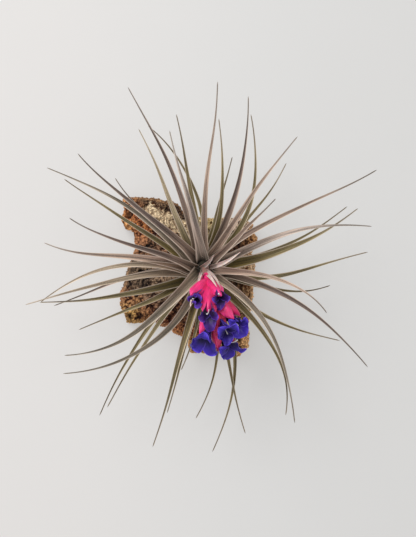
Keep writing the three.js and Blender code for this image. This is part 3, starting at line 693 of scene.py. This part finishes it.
# Bracts of the flower head: how far along the middle stalk each one stands, from 0 to 1, its bend,
# tip and width, and its redness from 0 to 1, or below 0 for a pale one. The last four close the head
# underneath.
BRACTS = [
    (0.0, [-3.6, -10.2, 83], [-8.6, -17.4, 85], 9, 0),
    (0.05, [5.8, -9.6, 84], [9.9, -17.6, 86], 9.5, 0),
    (0.22, [1.6, -17, 93], [1.4, -30.6, 88], 11.6, 0.1),
    (0.5, [-1.8, -33, 90], [-3, -40.4, 87], 6, 0),
    (0.72, [4.8, -42, 86], [7.8, -50.6, 80], 8, 0.4),
    (0.48, [7.8, -30.6, 92], [7.2, -40.2, 88], 7, 0.6),
    (0.32, [12.6, -22.2, 87], [17.1, -31.2, 85], 10, 0.2),
    (0.18, [3.9, -19.8, 88], [5.9, -27.8, 89], 6.5, 0.7),
    (0.3, [16.8, -22.2, 84], [21, -29.4, 78], 8, 0.6),
    (0.42, [11.4, -27, 84], [12.6, -34.8, 84], 8, 0.9),
    (0.85, [16, -41.4, 82], [18, -45.6, 79], 5, 0.8),
    (0.04, [8, -8.6, 83], [10, -16.4, 85], 3.4, 0.5),
    (0.1, [-10, -18, 80], [-8.4, -23.6, 84], 2.2, -1),
    (0.02, [-6, -8, 66], [-4, -15, 72], 9, 0.5),
    (0.3, [14, -22, 66], [13, -30, 70], 10, 0.5),
    (0.45, [0, -28, 66], [3.5, -38, 70], 10, 0.5),
    (0.8, [5, -40, 68], [5, -46, 73], 9, 0.5),
]
BRACT_ROWS, BRACT_LANES = 40, 20
BRACT_THICKNESS = 0.45
KEEL_WIDTH = 0.12
CRUMPLES = 3.2, 1.7  # along a bract and across it
RACHIS_RADII = [0, 0.16, 1], [2.3, 3.3, 1.6]  # places along the middle stalk, and its radii there
# The paler pink that the tips of the bracts take on is painted light. The deep red at their feet is
# partly their own colour and partly painted shade deep in the head.
BRACT_PINK, BRACT_RED, BRACT_LIT_TIP = colour(226, 30, 112), colour(166, 8, 50), colour(234, 60, 140)
BRACT_WHITE = colour(236, 214, 206)


def bract_tint(redness, t):
    if redness < 0:
        return BRACT_WHITE
    # Deep red at the foot, partly painted shade, and painted light towards the tip.
    tint = blended(BRACT_RED, lerp(BRACT_PINK, BRACT_RED, redness), t, 0.05, 0.35)
    return lerp(tint, BRACT_LIT_TIP, (1 - redness) * 0.5 * smoothstep(t, 0.5, 0.95)[:, None])


def add_bract(skin, number, row):
    root, bend, tip, width, redness = row
    foot, middle = spline(RACHIS, root)[0], on_sight_line(bend)
    inward = spline(RACHIS, min(1, root + 0.15))[0] - middle
    t = np.linspace(0, 1, BRACT_ROWS)
    line = bezier([foot, middle, on_sight_line(tip)], t)
    half = pointed_half(t, width, 0.16, 0.02, 0.7)
    v = lanes_across(BRACT_LANES)
    waves = 0.045 * edge_waves(t, v, 1.8, 2 * math.pi * chance(30 + number), 2, 3)
    keel = 0.02 * np.exp(-(v / KEEL_WIDTH) ** 2) * np.sin(math.pi * t)[:, None]
    crumple = [[noise.noise((CRUMPLES[0] * s, CRUMPLES[1] * w, number)) for w in v] for s in t]
    ripple = width * (waves - keel + 0.09 * np.array(crumple))
    tint = bract_tint(redness, t)
    add_blade(skin, line, inward, half, 0.7 * half, BRACT_THICKNESS, BRACT_LANES, tint, ripple)


def make_bracts():
    """The pink head: its middle stalk, the calyx of each flower and the bracts."""
    skin = Skin()
    t = np.linspace(0, 1, 32)
    add_tube(skin, spline(RACHIS, t), np.interp(t, *RACHIS_RADII), 20, BRACT_PINK)
    for root, mouth, *_ in FLOWERS:
        start, end = spline(RACHIS, root)[0], on_sight_line(mouth)
        calyx = lerp(start, end, np.linspace(*CALYX_SPAN, 10)[:, None])
        add_tube(skin, calyx, lerp(*CALYX_RADII, np.linspace(0, 1, 10) ** 0.6), 18, BRACT_RED)
    for number, row in enumerate(BRACTS):
        add_bract(skin, number, row)
    piece = skin.piece("pink_bracts", bract_finish("pink_bract", PINK_MARGIN, 0.25))
    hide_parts("floral_bracts")


# Cork bark. Zones of its face: the middle of each, its light colour and its dark one.
CORK_ZONES = [
    (-44, 42, (120, 90, 66), (48, 30, 22)),
    (-34, 44, (130, 102, 76), (50, 32, 24)),
    (-24, 42, (132, 104, 78), (54, 36, 26)),
    (-16, 37, (104, 80, 60), (44, 28, 20)),
    (-49, 41, (206, 146, 96), (130, 76, 44)),
    (-48, 33, (172, 88, 46), (56, 16, 8)),
    (-53, 27, (230, 182, 120), (160, 96, 50)),
    (-41, 27, (180, 116, 66), (92, 40, 18)),
    (-43, 19, (190, 130, 90), (60, 22, 12)),
    (-35, 11, (134, 100, 76), (40, 24, 18)),
    (-25, 9, (160, 120, 94), (70, 42, 32)),
    (-38, -1, (134, 112, 90), (48, 34, 26)),
    (-45, -10, (118, 98, 80), (40, 30, 24)),
    (-27, -9, (168, 140, 114), (66, 46, 36)),
    (-48, -21, (176, 124, 90), (70, 34, 20)),
    (-32, -21, (160, 130, 106), (66, 44, 32)),
    (-46, -28, (214, 170, 104), (84, 46, 24)),
    (-35, -28, (166, 108, 74), (66, 28, 16)),
    (-23, -32, (164, 110, 78), (76, 36, 22)),
    (-13, -31, (84, 62, 48), (30, 22, 18)),
    (-16, -39, (200, 134, 88), (100, 42, 22)),
    (-7, -44, (210, 158, 102), (110, 60, 34)),
    (0, -52, (200, 146, 96), (80, 42, 24)),
    (16, -52, (218, 164, 112), (66, 32, 18)),
    (24, -45, (226, 176, 124), (76, 42, 26)),
    (29, -15, (236, 190, 140), (140, 92, 58)),
    # This zone's dark brown is painted shadow, not the bark's own colour.
    (21, -15, (96, 68, 50), (44, 30, 22)),
    (28, 3, (224, 190, 152), (130, 88, 62)),
    (2, 28, (206, 184, 134), (130, 104, 66)),
    (21, 27, (214, 188, 164), (112, 90, 74)),
    (29, 18, (190, 140, 92), (76, 40, 22)),
    (22, 12, (80, 44, 30), (36, 18, 12)),
    (9, 17, (196, 172, 146), (96, 76, 60)),
    (-2, -14, (120, 90, 66), (60, 42, 30)),
]
ZONE_REACH = 6.0
CORK_EDGE = colour(218, 160, 104), colour(112, 56, 28)  # the light and the dark colour of its sides
CORK_EDGE_AMOUNT = 0.25
# Painted shade in the pits and hollows.
CORK_PIT_SHADE = colour(34, 18, 12)
CORK_BLACK = 0.003  # the least light in any part of its colour

# A pale ridge, cracked into blocks, runs over the bark between two places. It fades out over its
# reach, and it is less crumbly than the rest.
RIDGE_FROM, RIDGE_TO = np.array([-35.0, 35.0]), np.array([-13.0, 24.0])
RIDGE_REACH = 4.6, 6.2
RIDGE_LIGHT, RIDGE_DARK = colour(224, 200, 164), colour(112, 80, 54)
RIDGE_ROUGHNESS = 0.45

# Hollows: place and reach. The other marks have a size, and a depth or height.
CORK_HOLLOWS = [(-48, -32, 3.2), (-41, -31, 2.6), (-48.5, 35, 3.6), (20, -46, 3.2), (13, -52, 2.6)]
HOLLOW_DEPTH = 2.4
BLOCK_SIZE, CHIP_SIZE, CRACK_DEPTH = 5.6, 2.3, 1.5
FLAT_SHARE, CHIP_SHARE = 0.06, 0.3  # of that depth: cracks round blocks off the ridge, and round chips
PIT_SIZE, PIT_DEPTH, PIT_SHIFT = 5.5, 1.4, Vector((3, 7, 1))
CRUMB_SIZE, LUMP_SIZE, LUMP_HEIGHT = 1.3, 6.0, 1.1
WARP_SIZE = 5.0
DEEPEST, HIGHEST_LUMP = 3.0, 1.0
CORK_VOXEL = 0.00055  # metres


def on_ridge(x, y):
    """How much each place belongs to the ridge, from 0 to 1."""
    along = RIDGE_TO - RIDGE_FROM
    away = np.stack([x, y], axis=-1) - RIDGE_FROM
    s = np.clip(away @ along / (along @ along), 0, 1)
    return 1 - smoothstep(np.linalg.norm(away - s[:, None] * along, axis=-1), *RIDGE_REACH)


def cork_colours(x, y):
    """The light and the dark colour of the bark at each place, blended between the zones."""
    total, light, dark = 0, 0, 0
    for zone_x, zone_y, light_colour, dark_colour in CORK_ZONES:
        weight = np.exp(-((x - zone_x) ** 2 + (y - zone_y) ** 2) / ZONE_REACH**2)[:, None] + 1e-60
        total = total + weight
        light = light + weight * colour(*light_colour)
        dark = dark + weight * colour(*dark_colour)
    ridge = on_ridge(x, y)[:, None]
    return lerp(light / total, RIDGE_LIGHT, ridge), lerp(dark / total, RIDGE_DARK, ridge)


def remeshed(node):
    """The mesh of a CAD node, made again of small even faces."""
    obj = bpy.data.objects.new("bark_work", node.data.copy())
    bpy.context.scene.collection.objects.link(obj)
    remesh = obj.modifiers.new("remesh", "REMESH")
    remesh.mode = "VOXEL"
    remesh.voxel_size = CORK_VOXEL
    mesh = bpy.data.meshes.new_from_object(obj.evaluated_get(bpy.context.evaluated_depsgraph_get()))
    bpy.data.objects.remove(obj)
    return mesh


def cork_noises(points):
    """At each point: a warp, the gaps beside blocks and chips, the nearest pit, crumbs and lumps."""
    warps, values = [], []
    for place in points:
        p = Vector(place)
        warp = noise.noise_vector(p / WARP_SIZE)
        blocks, _ = noise.voronoi((p + 1.6 * warp) / BLOCK_SIZE)
        chips, _ = noise.voronoi((p + 0.8 * warp) / CHIP_SIZE)
        pits, _ = noise.voronoi(p / PIT_SIZE + PIT_SHIFT)
        crumbs = noise.fractal((p + warp) / CRUMB_SIZE, 0.7, 2.2, 3)
        lumps = noise.fractal(p / LUMP_SIZE, 1.0, 2.0, 3)
        warps.append(warp)
        values.append((blocks[1] - blocks[0], chips[1] - chips[0], pits[0], crumbs, lumps))
    return np.array(warps), *np.array(values).T


def in_hollow(x, y):
    """How much each place belongs to one of the hollows, from 0 to 1."""
    share = np.zeros(len(x))
    for hollow_x, hollow_y, reach in CORK_HOLLOWS:
        away = np.hypot(x - hollow_x, y - hollow_y)
        share = np.maximum(share, 1 - smoothstep(away, 0.4 * reach, reach))
    return share


def make_cork():
    """The CAD slab, with its cracks, pits, hollows and crumbly edges pushed in."""
    mesh = remeshed(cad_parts["cork_slab"])
    points = np.array([v.co for v in mesh.vertices]) / MM
    normals = np.array([v.normal for v in mesh.vertices])
    faces = [list(p.vertices) for p in mesh.polygons]
    x, y, z = points.T
    warps, block_gap, chip_gap, to_pit, crumbs, lumps = cork_noises(points)
    warp_x, warp_y, _ = warps.T

    ridge = on_ridge(x, y)
    rough = lerp(1, RIDGE_ROUGHNESS, ridge)
    crack = np.maximum((1 - smoothstep(block_gap, 0.0, 0.2)) * lerp(FLAT_SHARE, 1, ridge),
                       (1 - smoothstep(chip_gap, 0.0, 0.26)) * CHIP_SHARE)
    pit = 1 - smoothstep(to_pit, 0.12, 0.34)
    hollow = in_hollow(x + 1.5 * warp_x, y + 1.5 * warp_y)

    depth = CRACK_DEPTH * crack + PIT_DEPTH * pit * rough + HOLLOW_DEPTH * hollow
    depth = depth - LUMP_HEIGHT * (crumbs * rough + lumps)
    above_foot = smoothstep(z, 0.4, 2.5)
    moved = points - normals * (np.clip(depth, -HIGHEST_LUMP, DEEPEST) * above_foot)[:, None]
    moved[:, 2] = np.maximum(moved[:, 2], 0)

    light, dark = cork_colours(x + 4 * warp_x, y + 4 * warp_y)
    side = CORK_EDGE_AMOUNT * (1 - smoothstep(normals[:, 2], 0.1, 0.6))[:, None]
    light, dark = lerp(light, CORK_EDGE[0], side), lerp(dark, CORK_EDGE[1], side)
    lightness = lerp(0.68 + 1.6 * crumbs + 0.8 * lumps, 1 + 0.5 * crumbs, ridge)
    # Cracks and pits darken: painted shade.
    lightness = lightness - 0.8 * crack - 0.4 * pit
    tints = lerp(dark, light, np.clip(lightness, -0.1, 1.15)[:, None])
    # Pits and hollows go nearly black: painted shade.
    tints = lerp(tints, CORK_PIT_SHADE, np.maximum(0.85 * hollow, 0.6 * pit * rough)[:, None])
    tints = np.maximum(tints, CORK_BLACK)

    piece = add_piece("bark", moved, faces, cork_finish(), tints, moved, np.zeros(len(moved)))
    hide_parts("cork_slab")
    return BVHTree.FromPolygons(moved.tolist(), faces)


# Roots on the bark: heading, length and how far the heading turns on the way.
ROOTS = [
    (25, 17, 30),
    (80, 15, -25),
    (128, 19, 35),
    (178, 22, -30),
    (222, 17, 20),
    (268, 20, -40),
    (318, 18, 30),
]
ROOTLETS = 12
ROOT_RADIUS, ROOTLET_RADIUS = 0.85, 0.35
ROOT_POINTS = 28
ROOT_LIFT, ROOT_LIFT_END = 2.2, 0.33  # how high a root starts over the bark, and where it comes to lie
CROWN_HEIGHTS = 16.6, 20.2
CROWN_RADII = [4.6, 4.3, 4.1, 4.0, 3.9]
ABOVE_BARK = 40
ROOT_BROWN, CROWN_BROWN = colour(96, 72, 50), colour(84, 62, 42)


def root_line(bark, radius, direction, length, turn):
    """A line that lies on the bark, from its middle outwards."""
    spot, line = np.zeros(3), []
    for s in np.linspace(0, 1, ROOT_POINTS):
        hit = bark.ray_cast(Vector((spot[0], spot[1], ABOVE_BARK)), Vector((0, 0, -1)))[0]
        lift = ROOT_LIFT * (1 - smoothstep(s, 0, ROOT_LIFT_END))
        line.append([spot[0], spot[1], hit.z + 0.5 * radius + lift])
        spot = spot + heading(direction + turn * s) * length / ROOT_POINTS
    line = np.array(line)
    for _ in range(2):
        line[1:-1] = (line[:-2] + 2 * line[1:-1] + line[2:]) / 4
    return line


def make_roots(bark):
    skin = Skin()
    crown = np.linspace(*CROWN_HEIGHTS, len(CROWN_RADII))[:, None] * UP
    add_tube(skin, crown, np.array(CROWN_RADII), 20, CROWN_BROWN)
    rootlets = [(random.uniform(0, 360), random.uniform(9, 15), random.uniform(-50, 50))
                for _ in range(ROOTLETS)]
    for k, (direction, length, turn) in enumerate(ROOTS + rootlets):
        radius = ROOT_RADIUS if k < len(ROOTS) else ROOTLET_RADIUS
        line = root_line(bark, radius, direction, length, turn)
        add_tube(skin, line, radius * lerp(1, 0.45, np.linspace(0, 1, ROOT_POINTS)), 8, ROOT_BROWN)
    piece = skin.piece("wiry_roots", root_finish())
    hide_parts("roots")


# The setting, in metres.
FLOOR_HALF, FLOOR_DROP = 4.0, 0.0002
FLOOR_GREY = 0.256, 0.255, 0.252
# Painted light on the floor: the colour of its glow on the left and on the right, and how far either
# side of the middle it changes.
GLOW_LEFT, GLOW_RIGHT = (1.0, 0.96, 0.935), (0.98, 0.97, 0.955)
GLOW_EDGE = 0.14


def make_stage():
    """A pale floor. It glows a little, painted light as from a backdrop lit from behind, so its shadows
    are faint. The glow is brighter and warmer on the left, painted light as from the key lamp.
    """
    finish = Finish("backdrop", 0.9, Emission_Strength=0.4)
    where = finish.node("NewGeometry").outputs["Position"]
    fine = finish.noise(where, 30.0)
    across = finish.node("SeparateXYZ", {"Vector": where}).outputs["X"]
    base = finish.shaded(FLOOR_GREY, finish.between(fine, *NOISE_SPAN, 0.995, 1.005))
    white = finish.mixed(finish.between(across, -GLOW_EDGE, 0.06), GLOW_LEFT, GLOW_RIGHT)
    glow = finish.shaded(white, finish.between(across, -GLOW_EDGE, GLOW_EDGE, 1.1, 0.95))
    finish.feed(finish.shader, "Emission Color", glow)
    finish.finish(base, fine, 0.00001)
    corners = [(x * FLOOR_HALF, y * FLOOR_HALF, 0) for x, y in ((-1, -1), (1, -1), (1, 1), (-1, 1))]
    mesh = bpy.data.meshes.new("floor")
    mesh.from_pydata(corners, [], [(0, 1, 2, 3)])
    mesh.materials.append(finish.material)
    floor = bpy.data.objects.new("floor", mesh)
    floor.location.z = -FLOOR_DROP
    bpy.context.scene.collection.objects.link(floor)


def make_light(name, place, size, energy):
    """A round soft light that shines at the middle of the slab."""
    lamp = bpy.data.lights.new(name, "AREA")
    lamp.shape = "DISK"
    lamp.size = size
    lamp.energy = energy
    obj = bpy.data.objects.new(name, lamp)
    obj.location = place
    obj.rotation_euler = (-Vector(place)).to_track_quat("-Z", "Y").to_euler()
    bpy.context.scene.collection.objects.link(obj)


def make_camera():
    """Straight down on the bark's face. The focal length is in pixels of the 416 x 537 picture."""
    focal, long_side = 1000.0, 537.0
    data = bpy.data.cameras.new("camera")
    data.sensor_width = 36.0
    data.lens = data.sensor_width * focal / long_side
    camera = bpy.data.objects.new("camera", data)
    camera.location = Vector(EYE) * MM
    bpy.context.scene.collection.objects.link(camera)
    bpy.context.scene.camera = camera


def make_setting():
    make_camera()
    make_stage()
    make_light("key", (-0.5, 0.65, 1.1), 0.9, 15.0)
    make_light("fill", (0.9, -0.4, 0.9), 1.2, 2.5)
    world = bpy.data.worlds.new("studio")
    world.use_nodes = True
    background = world.node_tree.nodes["Background"]
    background.inputs["Color"].default_value = (1.0, 0.99, 0.98, 1.0)
    background.inputs["Strength"].default_value = 0.6
    bpy.context.scene.world = world
    bpy.context.scene.view_settings.view_transform = "Standard"


make_setting()
make_leaves()
make_scape()
petal_material = petal_finish()
for number, flower in enumerate(FLOWERS, start=1):
    make_corolla(number, flower, petal_material)
make_bracts()
make_roots(make_cork())
